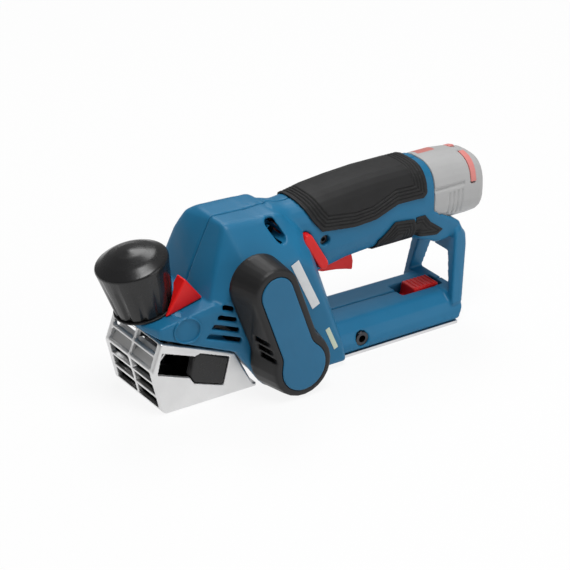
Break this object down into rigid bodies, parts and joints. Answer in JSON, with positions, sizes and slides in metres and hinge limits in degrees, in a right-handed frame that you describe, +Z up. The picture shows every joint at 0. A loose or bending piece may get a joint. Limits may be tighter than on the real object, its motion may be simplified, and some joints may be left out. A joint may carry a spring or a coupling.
{
  "type": "electric hand planer",
  "caption": "Cordless electric hand planer: split housing, belt-driven cutter drum, height-set front shoe with depth dial, fixed rear sole and slide-in battery.",
  "frame": {"origin": "middle of the underside of the rear sole, on the work surface", "axes": "+X from the front shoe towards the battery, along the tool; +Y towards the chip outlet side; +Z up"},
  "size_m": [0.285, 0.108, 0.1176],
  "materials": {
    "blue_housing": "fine satin texture",
    "blue_plate": "smooth satin",
    "black_grip": "soft matt grip",
    "black_plastic": "satin",
    "red_plastic": "satin",
    "cast_aluminium": "die-cast, machined sole",
    "steel": "bright",
    "dark_steel": "black oxide",
    "copper_windings": "enamelled copper on laminated iron",
    "brass": "machined",
    "belt_rubber": "ribbed drive belt",
    "grey_plastic": "satin",
    "pale_red_plastic": "satin",
    "board_green": "lacquered board"
  },
  "bodies": {
    "housing": {"housing_left": "blue_housing", "housing_right": "blue_housing", "grip_top": "black_grip", "grip_bottom": "black_grip", "rear_sole": "cast_aluminium", "sole_screw_front": "dark_steel", "sole_screw_rear": "dark_steel", "drum_frame": "cast_aluminium", "drum_bearing_left": "steel", "drum_bearing_right": "steel", "motor_bearing_left": "steel", "motor_bearing_right": "steel", "motor_stator": "copper_windings", "belt_cover": "black_plastic", "belt_cover_plate": "blue_plate", "cover_screw_high": "dark_steel", "cover_screw_low": "dark_steel", "depth_pointer": "red_plastic", "drive_belt": "belt_rubber", "switch_module": "black_plastic", "trigger_spring": "steel", "control_board": "board_green", "battery_terminals": "brass", "park_rest_pin": "steel", "guide_insert": "dark_steel", "base_screw_front": "dark_steel", "base_screw_rear": "dark_steel", "hood_screw": "dark_steel", "handle_screw": "dark_steel", "tail_screw": "dark_steel", "chip_outlet": "black_plastic"},
    "depth_dial": {"depth_knob": "black_plastic", "knob_spindle": "steel", "depth_scale_ring": "black_plastic"},
    "front_shoe": {"front_shoe": "cast_aluminium", "shoe_guide_left": "black_plastic", "shoe_guide_right": "black_plastic", "depth_nut": "dark_steel"},
    "cutter": {"cutter_drum": "cast_aluminium", "planer_blade": "steel", "blade_clamp": "cast_aluminium", "clamp_screw_1": "dark_steel", "clamp_screw_2": "dark_steel", "clamp_screw_3": "dark_steel", "drum_pulley": "black_plastic"},
    "motor": {"motor_rotor": "dark_steel", "motor_shaft": "steel", "cooling_fan": "black_plastic", "motor_pulley": "black_plastic"},
    "trigger": {"trigger": "red_plastic"},
    "lock_off_button": {"lock_off_button": "red_plastic"},
    "park_rest": {"park_rest": "red_plastic"},
    "battery_pack": {"battery_pack": "grey_plastic"},
    "battery_release_left": {"battery_release_left": "pale_red_plastic"},
    "battery_release_right": {"battery_release_right": "pale_red_plastic"}
  },
  "joints": [
    {"name": "depth_dial_turn", "type": "hinge", "parent": "housing", "child": "depth_dial", "pos_m": [-0.15875, 0, 0.064], "axis": [-0.2419, 0, 0.9703], "range_deg": [0, 300]},
    {"name": "front_shoe_rise", "type": "slide", "parent": "housing", "child": "front_shoe", "axis": [-0.2419, 0, 0.9703], "range_m": [0, 0.00206]},
    {"name": "cutter_spin", "type": "hinge", "parent": "housing", "child": "cutter", "pos_m": [-0.07975, 0, 0.0225], "axis": [0, 1, 0], "continuous": true},
    {"name": "motor_spin", "type": "hinge", "parent": "housing", "child": "motor", "pos_m": [-0.09725, 0, 0.079], "axis": [0, 1, 0], "continuous": true},
    {"name": "trigger_pull", "type": "hinge", "parent": "housing", "child": "trigger", "pos_m": [-0.03475, 0, 0.062], "axis": [0, -1, 0], "range_deg": [0, 8], "stiffness_Nm_per_rad": 0.8, "springref_deg": -5.73, "deforming": ["trigger_spring"]},
    {"name": "lock_off_slide", "type": "slide", "parent": "housing", "child": "lock_off_button", "axis": [0, 1, 0], "range_m": [-0.002, 0.002], "stiffness_N_per_m": 600},
    {"name": "park_rest_swing", "type": "hinge", "parent": "housing", "child": "park_rest", "pos_m": [0.04175, 0, 0.0096], "axis": [0, 1, 0], "range_deg": [0, 15]},
    {"name": "battery_slide", "type": "slide", "parent": "housing", "child": "battery_pack", "axis": [1, 0, 0], "range_m": [0, 0.055]},
    {"name": "battery_release_left_press", "type": "slide", "parent": "battery_pack", "child": "battery_release_left", "axis": [0, 0.7071, -0.7071], "range_m": [0, 0.001], "stiffness_N_per_m": 800, "springref_m": -0.001},
    {"name": "battery_release_right_press", "type": "slide", "parent": "battery_pack", "child": "battery_release_right", "axis": [0, -0.7071, -0.7071], "range_m": [0, 0.001], "stiffness_N_per_m": 800, "springref_m": -0.001}
  ],
  "couplings": [
    {"joint": "depth_dial_turn", "follows": "front_shoe_rise", "rad_per_m": 2539.9},
    {"joint": "motor_spin", "follows": "cutter_spin", "ratio": 1.4}
  ]
}
